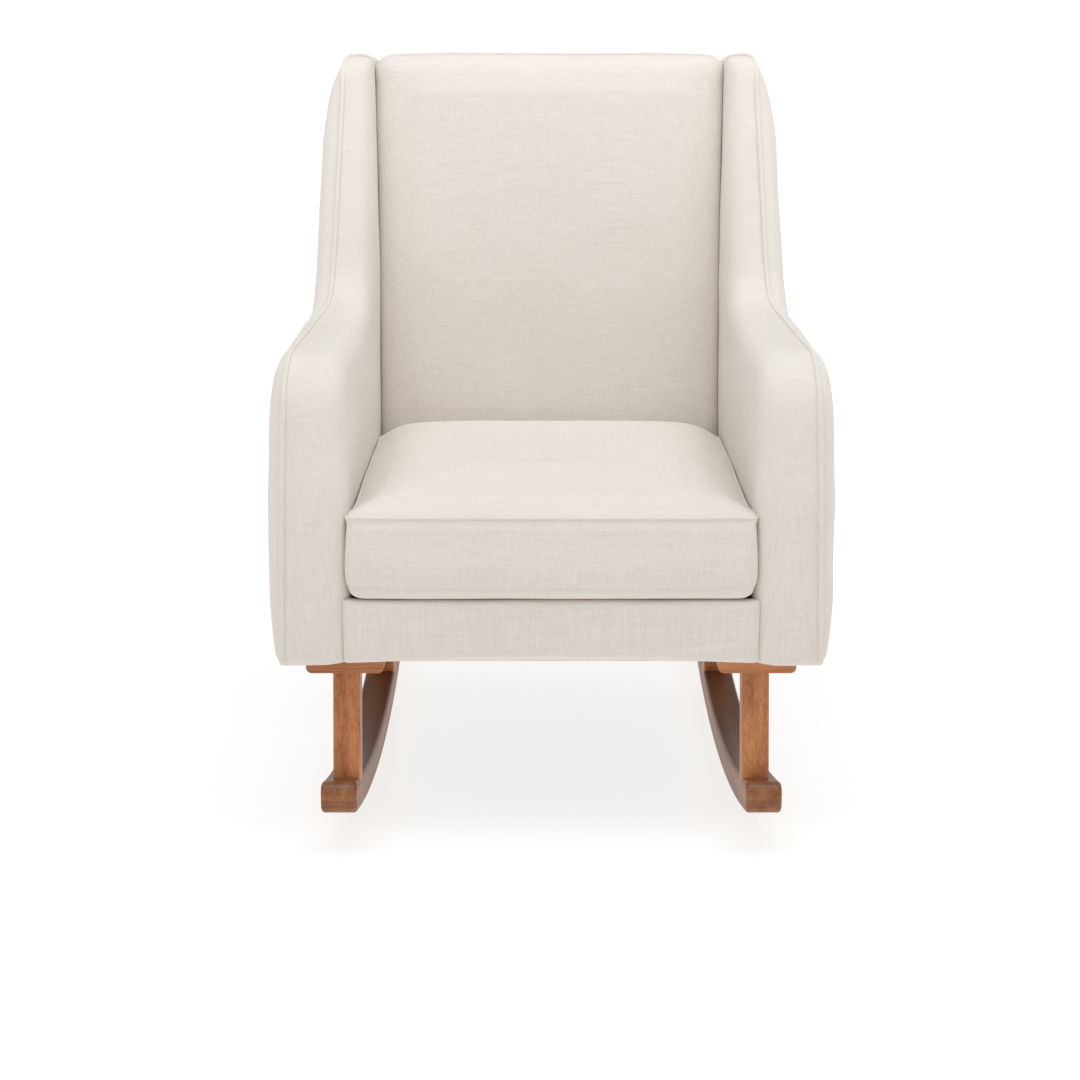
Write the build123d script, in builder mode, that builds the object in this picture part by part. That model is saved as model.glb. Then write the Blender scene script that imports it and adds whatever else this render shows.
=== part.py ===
"""Upholstered high-back rocking nursery chair on a two-runner wooden base, sizes in millimetres.

The chair faces -Y, +Z is up and the origin lies on the floor under the middle of the runners.
"""

import os
from math import cos, radians, sin, sqrt, tan

from build123d import *

os.makedirs("parts", exist_ok=True)

# Rocker base
rocker_radius = 1790
balance_y = 28
runner_length = 880
runner_width = 47
runner_thickness = 41
runner_inner_x = 253
runner_tip_round = 15
runner_edge_round = 5
leg_width = 36
leg_depth = 34
leg_edge_round = 3
front_leg_top_y = -338
front_leg_rake = 12
rear_leg_top_y = 166
rear_leg_rake = -20
plate_width = 103
plate_length = 100
plate_thickness = 18
plate_inner_x = 221
plate_end_round = 8
front_plate_y = -310
rear_plate_y = 170
plate_bolt_offset = 37
plate_bolt_edge = 15

# Base fasteners
bolt_diameter = 8
bolt_head_diameter = 14
bolt_head_height = 5
washer_diameter = 18
washer_thickness = 1.6
insert_diameter = 11
insert_length = 18
screw_diameter = 5
screw_head_diameter = 10
screw_reach = 30
screw_spacing = 18
runner_bolt_reach = 34
runner_bolt_recess = 8
hole_clearance = 0.4

# Seat frame
frame_base_z = 246
rail_height = 72
rail_thickness = 25
side_rail_thickness = 38
frame_front_y = -363
rear_rail_front_y = 192
corner_block_size = 60
corner_block_height = 40

# Sprung deck
spring_count = 5
spring_wire = 3.6
spring_bends = 11
spring_half_width = 24
spring_spacing = 90
clip_width = 16
clip_length = 14
clip_height = 7
deck_thickness = 8
dust_cover_thickness = 1.5
dust_cover_margin = 6
dust_cover_clearance = 2

# Seat cushion and apron
cushion_front_y = -387
cushion_seam_height = 111
cushion_crown = 31
cushion_corner = 36
cushion_edge_height = 19
cushion_foot_draw = 14
cushion_seam_draw = 6
cushion_crown_draw = 170
cushion_crown_corner = 24
cushion_clearance = 1.2
soft_clearance = 0.5
apron_thickness = 20
apron_edge_round = 8
apron_arch = 7

# Inside back
back_y = 140
back_z = 470
back_rake = 10
back_top_z = 1030
back_pad_bottom_z = 345
back_pad_thickness = 68
back_pad_corner = 24
pad_edge_depth = 36
pad_edge_draw = 60
wrap_overlap = 10
webbing_thickness = 2
webbing_width = 50
webbing_count = 5
webbing_first_z = 470
webbing_pitch = 105

# Back frame and outside back
back_top_depth = 111.25
outside_bottom_y = 245
post_width = 52
post_top_drop = 30
top_rail_height = 60
lower_rail_z = 360
lower_rail_height = 50
cross_rail_thickness = 28
outside_thickness = 13
outside_half_width = 340
outside_foot_round = 30
outside_shoulder_drop = 330
outside_shoulder_draw = 34
outer_top_drop = 10
outside_taper = 30

# Arm and wing sides
arm_inner_x = 262
welt_x = 338
welt_lean = 1.5
welt_toe = 2.0
outer_x = 360
outer_lean = 1.8
outer_toe = 1.0
side_level_z = 460
inner_edge_depth = 34
inner_edge_draw = 36
inner_top_draw = 14
inner_turns = (0, 30, 55, 90)
crease_run = 21
crease_depth = 3
outer_edge_draw = 33
outer_top_draw = 105
outer_foot_draw = 100
outer_foot_overrun = 8
outer_turns = (0, 25, 50, 75, 90)
arm_front_y = -389
arm_knee_z = 470
arm_nose = (-363, 649)
wing_root = (75, 676)
wing_top_y = 206
knee_round = 300
nose_round = 85
root_round = 75
wing_top_round = 50
wing_top_fall = 4
least_round = 6
side_pad = 38
inner_pad = 16
side_overrun = 120
inner_panel_thickness = 15
outer_panel_thickness = 6
outer_panel_x = 347
outer_panel_top_drop = 26
outer_panel_foot_lift = 30
batten_depth = 40
base_batten_height = 30
panel_border = 70
panel_window_round = 30
window_rear_y = 100
frame_bolt_z = 291
frame_bolt_head = 16
frame_bolt_head_height = 4
frame_nut_thickness = 6
frame_bolt_rows = (-245, -70, 105)

# Each section of a side is its place across the chair, its lean and toe, how far its front and
# top draw in, and how far its foot lifts.
inner_sections = []
for turn in inner_turns:
    x = arm_inner_x + inner_edge_depth * (1 - cos(radians(turn)))
    share = (x - arm_inner_x) / (welt_x - arm_inner_x)
    drawn = 1 - sin(radians(turn))
    inner_sections.append(
        (
            x,
            share * welt_lean,
            share * welt_toe,
            drawn * inner_edge_draw,
            drawn * inner_top_draw,
            -side_overrun,
        )
    )
crease_share = (welt_x - crease_run - arm_inner_x) / (welt_x - arm_inner_x)
inner_sections.append(
    (welt_x - crease_run, crease_share * welt_lean, crease_share * welt_toe, 0, 0, -side_overrun)
)
inner_sections.append((welt_x, welt_lean, welt_toe, crease_depth, crease_depth, -side_overrun))
outer_sections = []
for turn in outer_turns:
    share = sin(radians(turn))
    drawn = 1 - cos(radians(turn))
    outer_sections.append(
        (
            welt_x + share * (outer_x - welt_x),
            welt_lean + share * (outer_lean - welt_lean),
            welt_toe + share * (outer_toe - welt_toe),
            crease_depth + drawn * outer_edge_draw,
            crease_depth + drawn * outer_top_draw,
            drawn * outer_foot_draw - outer_foot_overrun,
        )
    )

# Levels and lines that several pieces share
plate_bottom_z = frame_base_z - plate_thickness
rail_top_z = frame_base_z + rail_height
side_panel_x = arm_inner_x + inner_pad
side_rail_x = side_panel_x - side_rail_thickness
post_x = side_panel_x - post_width
leg_x = runner_inner_x + leg_width / 2
plate_x = plate_inner_x + plate_width / 2
rail_bolt_x = side_rail_x + side_rail_thickness / 2
batten_bolt_x = plate_inner_x + plate_width - plate_bolt_edge
outside_top_y = back_y + (back_top_z - back_z) * tan(radians(back_rake)) + back_top_depth
outside_slope = (outside_top_y - outside_bottom_y) / (back_top_z - frame_base_z)
post_front_depth = back_pad_thickness + webbing_thickness
deck_z = rail_top_z + clip_height
seat_bottom_z = deck_z + deck_thickness
soft_half_width = arm_inner_x - soft_clearance
outer_top_z = back_top_z - outer_top_drop
post_top_z = back_top_z - post_top_drop
outside_shoulder_z = back_top_z - outside_shoulder_drop


def runner_bottom(y):
    """Height of a runner's rocking face above the floor."""
    return rocker_radius - sqrt(rocker_radius**2 - (y - balance_y) ** 2)


def runner_top(y):
    """Height of a runner's upper face above the floor."""
    return rocker_radius - sqrt((rocker_radius - runner_thickness) ** 2 - (y - balance_y) ** 2)


def back_face_y(z, depth=0):
    """Place of the inside back's face, or of the plane a depth behind it."""
    return back_y + (z - back_z) * tan(radians(back_rake)) + depth / cos(radians(back_rake))


def outside_y(z):
    """Place of the plane that closes the sides and the back frame behind."""
    return outside_bottom_y + (z - frame_base_z) * outside_slope


def save(piece, name):
    """Label one finished piece and write it."""
    piece.label = name
    export_step(piece, f"parts/{name}.step")


def save_pair(piece, name):
    """Write a right-hand piece and its mirrored left-hand twin."""
    save(piece, f"right_{name}")
    with BuildPart() as twin:
        mirror(piece, about=Plane.YZ)
    save(twin.part, f"left_{name}")


def meet(first, second):
    """Point where two lines, each given by two points, cross."""
    (ax, ay), (bx, by) = first
    (cx, cy), (dx, dy) = second
    along = ((cx - ax) * (dy - cy) - (cy - ay) * (dx - cx)) / ((bx - ax) * (dy - cy) - (by - ay) * (dx - cx))
    return (ax + (bx - ax) * along, ay + (by - ay) * along)


def drawn_in(start, end, inset):
    """Line through two points, moved to its right by the inset."""
    length = sqrt((end[0] - start[0]) ** 2 + (end[1] - start[1]) ** 2)
    shift = ((end[1] - start[1]) / length * inset, -(end[0] - start[0]) / length * inset)
    return ((start[0] + shift[0], start[1] + shift[1]), (end[0] + shift[0], end[1] + shift[1]))


def side_corners(inset, top_inset, below_z, behind_y):
    """Corners of the arm and wing outline, with its front and top drawn in."""
    front = (arm_front_y, below_z)
    top = (wing_top_y, back_top_z)
    run = [front, (arm_front_y, arm_knee_z), arm_nose, wing_root, top]
    lines = [drawn_in(a, b, inset) for a, b in zip(run, run[1:])]
    top_line = drawn_in(top, (behind_y, back_top_z - wing_top_fall), top_inset)
    floor_line = ((arm_front_y, below_z), (behind_y, below_z))
    rear_line = ((behind_y, below_z), (behind_y, back_top_z))
    joined = [floor_line] + lines + [top_line, rear_line]
    return [meet(a, b) for a, b in zip(joined, joined[1:])] + [(behind_y, below_z)]


def side_rounds(inset, top_inset, lift):
    """Radius at each corner of the arm and wing outline."""
    nose = max(nose_round - inset, least_round)
    top = max(wing_top_round + top_inset - 2 * inset, least_round)
    foot = max(lift / 2, least_round)
    return [foot, knee_round - inset, nose, root_round + inset, top, 0, 0]


# Runners: bent laminated bars whose lower face is one arc, with rounded tips and eased edges
half_length = runner_length / 2
with BuildPart() as runner:
    with BuildSketch(Plane.YZ.offset(runner_inner_x)):
        with BuildLine():
            lower = ThreePointArc(
                (-half_length, runner_bottom(-half_length)),
                (balance_y, 0),
                (half_length, runner_bottom(half_length)),
            )
            upper = ThreePointArc(
                (half_length, runner_top(half_length)),
                (balance_y, runner_thickness),
                (-half_length, runner_top(-half_length)),
            )
            Line(lower @ 1, upper @ 0)
            Line(upper @ 1, lower @ 0)
        make_face()
        fillet(vertices(), runner_tip_round)
    extrude(amount=runner_width)
    fillet(runner.faces().sort_by(Axis.X)[0].edges(), runner_edge_round)
    fillet(runner.faces().sort_by(Axis.X)[-1].edges(), runner_edge_round)


def leg_centre(top_y, rake, z):
    """Place of a raked leg's middle at a height."""
    return top_y - (plate_bottom_z - z) * tan(radians(rake))


def foot_place(top_y, rake):
    """Place of a leg's middle where it meets its runner."""
    y = top_y
    for _ in range(8):
        y = leg_centre(top_y, rake, runner_top(y))
    return y


front_foot_y = foot_place(front_leg_top_y, front_leg_rake)
rear_foot_y = foot_place(rear_leg_top_y, rear_leg_rake)
leg_stations = [
    ("front", front_leg_top_y, front_leg_rake, front_foot_y, front_plate_y),
    ("rear", rear_leg_top_y, rear_leg_rake, rear_foot_y, rear_plate_y),
]
screw_places = [
    (leg_x + step * screw_spacing / 2, top_y) for _, top_y, _, _, _ in leg_stations for step in (-1, 1)
]
bolt_places = [
    (x, plate_y + side * plate_bolt_offset)
    for (_, _, _, _, plate_y), side in zip(leg_stations, (1, -1))
    for x in (rail_bolt_x, batten_bolt_x)
]
foot_places = [(leg_x, front_foot_y), (leg_x, rear_foot_y)]
runner_bolt_z = [runner_bottom(y) + runner_bolt_recess for _, y in foot_places]

# Runner bolts: one up through each runner into a leg, with its head sunk in a counterbore
with BuildPart() as runner_bolts:
    for (x, y), z in zip(foot_places, runner_bolt_z):
        with Locations((x, y, z)):
            Cylinder(
                bolt_head_diameter / 2, bolt_head_height, align=(Align.CENTER, Align.CENTER, Align.MIN)
            )
        with Locations((x, y, z + bolt_head_height)):
            Cylinder(
                bolt_diameter / 2,
                runner_thickness - runner_bolt_recess + runner_bolt_reach - bolt_head_height,
                align=(Align.CENTER, Align.CENTER, Align.MIN),
            )
    mirror(about=Plane.YZ)
save(runner_bolts.part, "runner_bolts")

# Legs: raked square bars scribed to the runner below and screwed to a plate above
for name, top_y, rake, foot_y, plate_y in leg_stations:
    low_z = runner_top(foot_y) - runner_thickness / 2
    with BuildPart() as leg:
        with BuildSketch(Plane.XY.offset(plate_bottom_z)):
            with Locations((leg_x, top_y)):
                RectangleRounded(leg_width, leg_depth, leg_edge_round)
        with BuildSketch(Plane.XY.offset(low_z)):
            with Locations((leg_x, leg_centre(top_y, rake, low_z))):
                RectangleRounded(leg_width, leg_depth, leg_edge_round)
        loft()
        add(runner.part, mode=Mode.SUBTRACT)
        with Locations((leg_x, foot_y, low_z)):
            Cylinder(
                (bolt_diameter + hole_clearance) / 2,
                runner_thickness / 2 + runner_bolt_reach + hole_clearance,
                align=(Align.CENTER, Align.CENTER, Align.MIN),
                mode=Mode.SUBTRACT,
            )
        for x, y in screw_places:
            with Locations((x, y, plate_bottom_z)):
                Cylinder(
                    (screw_diameter + hole_clearance) / 2,
                    screw_reach + hole_clearance,
                    align=(Align.CENTER, Align.CENTER, Align.MAX),
                    mode=Mode.SUBTRACT,
                )
    save_pair(leg.part, f"{name}_leg")

# The runners take their bolt holes once the legs have been scribed to them
with BuildPart() as drilled_runner:
    add(runner.part)
    for (x, y), z in zip(foot_places, runner_bolt_z):
        with Locations((x, y, z - runner_bolt_recess)):
            Cylinder(
                (bolt_head_diameter + hole_clearance) / 2,
                runner_bolt_recess + bolt_head_height,
                align=(Align.CENTER, Align.CENTER, Align.MIN),
                mode=Mode.SUBTRACT,
            )
        with Locations((x, y, z)):
            Cylinder(
                (bolt_diameter + hole_clearance) / 2,
                2 * runner_thickness,
                align=(Align.CENTER, Align.CENTER, Align.MIN),
                mode=Mode.SUBTRACT,
            )
save_pair(drilled_runner.part, "runner")

# Mount plates: flat boards with rounded ends that spread each leg's load under the seat frame
for name, top_y, rake, foot_y, plate_y in leg_stations:
    with BuildPart() as plate:
        with BuildSketch(Plane.XZ.offset(-(plate_y + plate_length / 2))):
            with Locations((plate_x, plate_bottom_z + plate_thickness / 2)):
                RectangleRounded(plate_width, plate_thickness, plate_end_round)
        extrude(amount=plate_length)
        for x, y in bolt_places:
            with Locations((x, y, plate_bottom_z)):
                Cylinder((bolt_diameter + hole_clearance) / 2, 3 * plate_thickness, mode=Mode.SUBTRACT)
        for x, y in screw_places:
            with Locations((x, y, frame_base_z)):
                CounterSinkHole(
                    (screw_diameter + hole_clearance) / 2, (screw_head_diameter + hole_clearance) / 2
                )
    save_pair(plate.part, f"{name}_plate")

# Leg screws: countersunk, two down through each plate into the leg's end grain
screw_head_height = (screw_head_diameter - screw_diameter) / 2 / tan(radians(41))
with BuildPart() as leg_screws:
    for x, y in screw_places:
        with Locations((x, y, frame_base_z)):
            Cylinder(
                screw_diameter / 2,
                plate_thickness + screw_reach,
                align=(Align.CENTER, Align.CENTER, Align.MAX),
            )
            Cone(
                screw_diameter / 2,
                screw_head_diameter / 2,
                screw_head_height,
                align=(Align.CENTER, Align.CENTER, Align.MAX),
            )
    mirror(about=Plane.YZ)
save(leg_screws.part, "leg_screws")

# Plate bolts, washers and threaded inserts: two of each hold every plate to the seat frame
with BuildPart() as plate_bolts:
    for x, y in bolt_places:
        with Locations((x, y, plate_bottom_z - washer_thickness)):
            Cylinder(
                bolt_head_diameter / 2, bolt_head_height, align=(Align.CENTER, Align.CENTER, Align.MAX)
            )
            Cylinder(
                bolt_diameter / 2,
                washer_thickness + plate_thickness + insert_length,
                align=(Align.CENTER, Align.CENTER, Align.MIN),
            )
    mirror(about=Plane.YZ)
save(plate_bolts.part, "plate_bolts")

with BuildPart() as plate_washers:
    for x, y in bolt_places:
        with BuildSketch(Plane.XY.offset(plate_bottom_z)):
            with Locations((x, y)):
                Circle(washer_diameter / 2)
                Circle((bolt_diameter + hole_clearance) / 2, mode=Mode.SUBTRACT)
        extrude(amount=-washer_thickness)
    mirror(about=Plane.YZ)
save(plate_washers.part, "plate_washers")

with BuildPart() as inserts:
    for x, y in bolt_places:
        with BuildSketch(Plane.XY.offset(frame_base_z)):
            with Locations((x, y)):
                Circle(insert_diameter / 2)
                Circle((bolt_diameter + hole_clearance) / 2, mode=Mode.SUBTRACT)
        extrude(amount=insert_length)
    mirror(about=Plane.YZ)
save(inserts.part, "threaded_inserts")

# Back posts: tapered uprights between the inside back and the outside back
with BuildPart() as back_post:
    with BuildSketch(Plane.YZ.offset(post_x)):
        Polygon(
            (back_face_y(frame_base_z, post_front_depth), frame_base_z),
            (outside_y(frame_base_z), frame_base_z),
            (outside_y(post_top_z), post_top_z),
            (back_face_y(post_top_z, post_front_depth), post_top_z),
            align=None,
        )
    extrude(amount=post_width)
save_pair(back_post.part, "back_post")

# Seat rails: a hardwood box, with side rails that butt against the posts
with BuildPart() as side_rail:
    with BuildSketch(Plane.YZ.offset(side_rail_x)):
        Polygon(
            (frame_front_y, frame_base_z),
            (back_face_y(frame_base_z, post_front_depth), frame_base_z),
            (back_face_y(rail_top_z, post_front_depth), rail_top_z),
            (frame_front_y, rail_top_z),
            align=None,
        )
    extrude(amount=side_rail_thickness)

with BuildPart() as front_rail:
    with BuildSketch(Plane.XY.offset(frame_base_z)):
        with Locations((0, frame_front_y)):
            Rectangle(2 * side_rail_x, rail_thickness, align=(Align.CENTER, Align.MIN))
    extrude(amount=rail_height)
save(front_rail.part, "front_rail")

with BuildPart() as rear_rail:
    with BuildSketch(Plane.XY.offset(frame_base_z)):
        with Locations((0, rear_rail_front_y)):
            Rectangle(2 * post_x, rail_thickness, align=(Align.CENTER, Align.MIN))
    extrude(amount=rail_height)
save(rear_rail.part, "rear_rail")

# Corner blocks: triangles glued into the box where its rails meet
block_front_y = frame_front_y + rail_thickness
with BuildPart() as corner_blocks:
    with BuildSketch(Plane.XY.offset(frame_base_z)):
        Polygon(
            (side_rail_x, block_front_y),
            (side_rail_x - corner_block_size, block_front_y),
            (side_rail_x, block_front_y + corner_block_size),
            align=None,
        )
        Polygon(
            (post_x, rear_rail_front_y),
            (post_x - corner_block_size, rear_rail_front_y),
            (post_x, rear_rail_front_y - corner_block_size),
            align=None,
        )
    extrude(amount=corner_block_height)
    add(back_post.part, mode=Mode.SUBTRACT)
    mirror(about=Plane.YZ)
save(corner_blocks.part, "corner_blocks")

# Cross rails of the back: one under the top edge and one behind the seat
cross_rails = [
    ("back_top_rail", post_top_z - top_rail_height, top_rail_height),
    ("back_lower_rail", lower_rail_z, lower_rail_height),
]
for name, z, height in cross_rails:
    with BuildPart() as cross_rail:
        with BuildSketch(Plane.YZ.offset(-post_x)):
            Polygon(
                (back_face_y(z, post_front_depth), z),
                (back_face_y(z, post_front_depth) + cross_rail_thickness, z),
                (back_face_y(z + height, post_front_depth) + cross_rail_thickness, z + height),
                (back_face_y(z + height, post_front_depth), z + height),
                align=None,
            )
        extrude(amount=2 * post_x)
    save(cross_rail.part, name)

# Back webbing: elastic straps stretched across the front of the posts
back_plane = Plane(
    origin=(0, back_y, back_z),
    x_dir=(1, 0, 0),
    z_dir=(0, -cos(radians(back_rake)), sin(radians(back_rake))),
)
strap_places = [
    (0, (webbing_first_z + step * webbing_pitch - back_z) / cos(radians(back_rake)))
    for step in range(webbing_count)
]
with BuildPart() as back_webbing:
    with BuildSketch(back_plane.offset(-back_pad_thickness)):
        with Locations(*strap_places):
            Rectangle(2 * (post_x + post_width / 2), webbing_width)
    extrude(amount=-webbing_thickness)
save(back_webbing.part, "back_webbing")

# Seat springs: sinuous wires from the front rail to the rear rail, each held in a clip at both ends
spring_z = deck_z - spring_wire / 2
spring_front_y = frame_front_y + rail_thickness / 2
spring_rear_y = rear_rail_front_y + rail_thickness / 2
spring_lead = clip_length + spring_half_width
bend_pitch = (spring_rear_y - spring_front_y - 2 * spring_lead) / spring_bends
bend_radius = 0.45 * min(bend_pitch, spring_half_width)
spring_places = [(step - (spring_count - 1) / 2) * spring_spacing for step in range(spring_count)]
clip_places = [(x, y) for x in spring_places for y in (spring_front_y, spring_rear_y)]
levels = [spring_front_y + spring_lead + step * bend_pitch for step in range(spring_bends + 1)]
zigzag = [(0, spring_front_y - clip_length / 2), (0, levels[0])]
for step, (near, far) in enumerate(zip(levels, levels[1:])):
    reach = spring_half_width if step % 2 else -spring_half_width
    zigzag += [(reach, near), (reach, far)]
zigzag += [(0, levels[-1]), (0, spring_rear_y + clip_length / 2)]
with BuildPart() as seat_springs:
    for x in spring_places:
        with BuildLine(Plane.XY.offset(spring_z)) as wire_path:
            FilletPolyline(*[(x + across, along) for across, along in zigzag], radius=bend_radius)
        with BuildSketch(Plane(origin=wire_path.line @ 0, z_dir=wire_path.line % 0)):
            Circle(spring_wire / 2)
        sweep(path=wire_path.line)
save(seat_springs.part, "seat_springs")

with BuildPart() as spring_clips:
    with BuildSketch(Plane.XY.offset(rail_top_z)):
        with Locations(*clip_places):
            Rectangle(clip_width, clip_length)
    extrude(amount=clip_height)
    for x, y in clip_places:
        with Locations(Location((x, y, spring_z), (90, 0, 0))):
            Cylinder((spring_wire + hole_clearance) / 2, 2 * clip_length, mode=Mode.SUBTRACT)
save(spring_clips.part, "spring_clips")

# Arm and wing sides: two shaped panels with battens between them, inside one padded cover
far_behind_y = outside_top_y + side_overrun
base_plane = Plane.XY.offset(frame_base_z)
outside_plane = Plane(
    origin=(0, outside_bottom_y, frame_base_z),
    x_dir=(-1, 0, 0),
    z_dir=(0, 1, -outside_slope),
)


def side_plane(x, lean=0, toe=0):
    """Plane along a side, leaning inwards towards its top and toed inwards towards the rear."""
    slope = tan(radians(lean))
    swing = tan(radians(toe))
    return Plane(origin=(x, 0, side_level_z), x_dir=(-swing, 1, 0), z_dir=(1, swing, slope))


def side_outline(inset, top_inset, lift):
    """Rounded outline of a side, measured from the reference level."""
    corners = side_corners(inset, top_inset, frame_base_z + lift, far_behind_y)
    return FilletPolyline(
        *[(y, z - side_level_z) for y, z in corners],
        radius=side_rounds(inset, top_inset, lift),
        close=True,
    )


panel_plane = side_plane(side_panel_x)
outer_panel_plane = side_plane(outer_panel_x, outer_lean, outer_toe)
outer_panel_top_inset = side_pad + outer_panel_top_drop
with BuildPart() as side_space:
    with BuildSketch(panel_plane):
        with BuildLine():
            side_outline(side_pad, side_pad, -side_overrun)
        make_face()
    with BuildSketch(outer_panel_plane):
        with BuildLine():
            side_outline(side_pad, outer_panel_top_inset, outer_panel_foot_lift)
        make_face()
    loft()
    split(bisect_by=base_plane, keep=Keep.TOP)
    split(bisect_by=outside_plane, keep=Keep.BOTTOM)

with BuildPart() as side_cover:
    for run in (inner_sections, outer_sections):
        for x, lean, toe, inset, top_inset, lift in run:
            with BuildSketch(side_plane(x, lean, toe)):
                with BuildLine():
                    side_outline(inset, top_inset, lift)
                make_face()
        loft()
    split(bisect_by=base_plane, keep=Keep.TOP)
    split(bisect_by=outside_plane, keep=Keep.BOTTOM)
    add(side_space.part, mode=Mode.SUBTRACT)
    add(side_rail.part, mode=Mode.SUBTRACT)
    add(back_post.part, mode=Mode.SUBTRACT)
save_pair(side_cover.part, "arm_and_wing")

# Inner panel: plywood that carries the arm and wing, with a window in the arm to save weight
frame_bolt_places = [(side_panel_x, y, frame_bolt_z) for y in frame_bolt_rows]
window_front_y = arm_front_y + side_pad + panel_border
window_low_z = frame_base_z + panel_border
window_high_z = arm_nose[1] - side_pad - panel_border
window_centre = (
    (window_front_y + window_rear_y) / 2,
    (window_low_z + window_high_z) / 2 - side_level_z,
)
with BuildPart() as inner_panel:
    add(side_space.part)
    split(bisect_by=panel_plane.offset(inner_panel_thickness), keep=Keep.BOTTOM)
    with BuildSketch(panel_plane):
        with Locations(window_centre):
            RectangleRounded(
                window_rear_y - window_front_y,
                window_high_z - window_low_z,
                panel_window_round,
            )
    extrude(amount=inner_panel_thickness, mode=Mode.SUBTRACT)
    for place in frame_bolt_places:
        with Locations(Location(place, (0, 90, 0))):
            Cylinder((bolt_diameter + hole_clearance) / 2, 4 * inner_panel_thickness, mode=Mode.SUBTRACT)
save_pair(inner_panel.part, "inner_panel")

# Outer panel: thin board behind the outside cover, leaning in with the wing
with BuildPart() as outer_panel:
    add(side_space.part)
    split(bisect_by=outer_panel_plane.offset(-outer_panel_thickness), keep=Keep.TOP)
save_pair(outer_panel.part, "outer_panel")

# Battens: a base, a front post, an arm support and a raked rear upright between the panels
batten_front_y = arm_front_y + side_pad
batten_top_z = arm_nose[1] - side_pad - batten_depth / 4
with BuildPart() as battens:
    with BuildSketch(Plane.YZ.offset(side_panel_x + inner_panel_thickness)):
        Polygon(
            (batten_front_y, frame_base_z),
            (outside_y(frame_base_z), frame_base_z),
            (outside_y(frame_base_z + base_batten_height), frame_base_z + base_batten_height),
            (batten_front_y, frame_base_z + base_batten_height),
            align=None,
        )
        Polygon(
            (batten_front_y, frame_base_z),
            (batten_front_y + batten_depth, frame_base_z),
            (batten_front_y + batten_depth, batten_top_z),
            (batten_front_y, batten_top_z),
            align=None,
        )
        Polygon(
            (batten_front_y, batten_top_z - batten_depth),
            (outside_y(batten_top_z - batten_depth), batten_top_z - batten_depth),
            (outside_y(batten_top_z), batten_top_z),
            (batten_front_y, batten_top_z),
            align=None,
        )
        Polygon(
            (outside_y(frame_base_z) - batten_depth, frame_base_z),
            (outside_y(frame_base_z), frame_base_z),
            (outside_y(back_top_z), back_top_z),
            (outside_y(back_top_z) - batten_depth, back_top_z),
            align=None,
        )
    extrude(amount=outer_panel_x)
    add(side_space.part, mode=Mode.INTERSECT)
    add(outer_panel.part, mode=Mode.SUBTRACT)
    for x, y in bolt_places:
        with Locations((x, y, frame_base_z)):
            Cylinder(
                insert_diameter / 2,
                insert_length + hole_clearance,
                align=(Align.CENTER, Align.CENTER, Align.MIN),
                mode=Mode.SUBTRACT,
            )
save_pair(battens.part, "side_battens")

# Side rails take their insert and bolt holes once the covers have been cut to them
with BuildPart() as drilled_rail:
    add(side_rail.part)
    for x, y in bolt_places:
        with Locations((x, y, frame_base_z)):
            Cylinder(
                insert_diameter / 2,
                insert_length + hole_clearance,
                align=(Align.CENTER, Align.CENTER, Align.MIN),
                mode=Mode.SUBTRACT,
            )
    for place in frame_bolt_places:
        with Locations(Location(place, (0, 90, 0))):
            Cylinder((bolt_diameter + hole_clearance) / 2, 4 * side_rail_thickness, mode=Mode.SUBTRACT)
save_pair(drilled_rail.part, "side_rail")

# Frame bolts and nuts: they clamp each inner panel to its side rail
with BuildPart() as frame_bolts:
    for x, y, z in frame_bolt_places:
        with Locations(Location((x + inner_panel_thickness, y, z), (0, 90, 0))):
            Cylinder(
                frame_bolt_head / 2,
                frame_bolt_head_height,
                align=(Align.CENTER, Align.CENTER, Align.MIN),
            )
            Cylinder(
                bolt_diameter / 2,
                inner_panel_thickness + side_rail_thickness + frame_nut_thickness,
                align=(Align.CENTER, Align.CENTER, Align.MAX),
            )
    mirror(about=Plane.YZ)
save(frame_bolts.part, "frame_bolts")

with BuildPart() as frame_nuts:
    for x, y, z in frame_bolt_places:
        with BuildSketch(Plane.YZ.offset(side_rail_x)):
            with Locations((y, z)):
                RegularPolygon(bolt_head_diameter / 2, 6)
                Circle((bolt_diameter + hole_clearance) / 2, mode=Mode.SUBTRACT)
        extrude(amount=-frame_nut_thickness)
    mirror(about=Plane.YZ)
save(frame_nuts.part, "frame_nuts")

# Deck pad: felt and cloth over the springs, under the loose cushion
deck_rear_y = back_face_y(deck_z, post_front_depth) - soft_clearance
with BuildPart() as deck_pad:
    with BuildSketch(Plane.XY.offset(deck_z)):
        with Locations((0, frame_front_y)):
            Rectangle(2 * soft_half_width, deck_rear_y - frame_front_y, align=(Align.CENTER, Align.MIN))
    extrude(amount=deck_thickness)
save(deck_pad.part, "deck_pad")

# Dust cover: a thin cloth under the frame, cut out round the plates
with BuildPart() as dust_cover:
    with BuildSketch(Plane.XY.offset(frame_base_z)):
        with Locations((0, frame_front_y + dust_cover_margin)):
            Rectangle(
                2 * (side_panel_x - dust_cover_margin),
                outside_bottom_y - frame_front_y - 2 * dust_cover_margin,
                align=(Align.CENTER, Align.MIN),
            )
        with Locations(
            *[(side * plate_x, y) for side in (-1, 1) for y in (front_plate_y, rear_plate_y)]
        ):
            Rectangle(
                plate_width + 2 * dust_cover_clearance,
                plate_length + 2 * dust_cover_clearance,
                mode=Mode.SUBTRACT,
            )
    extrude(amount=-dust_cover_thickness)
save(dust_cover.part, "dust_cover")

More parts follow.
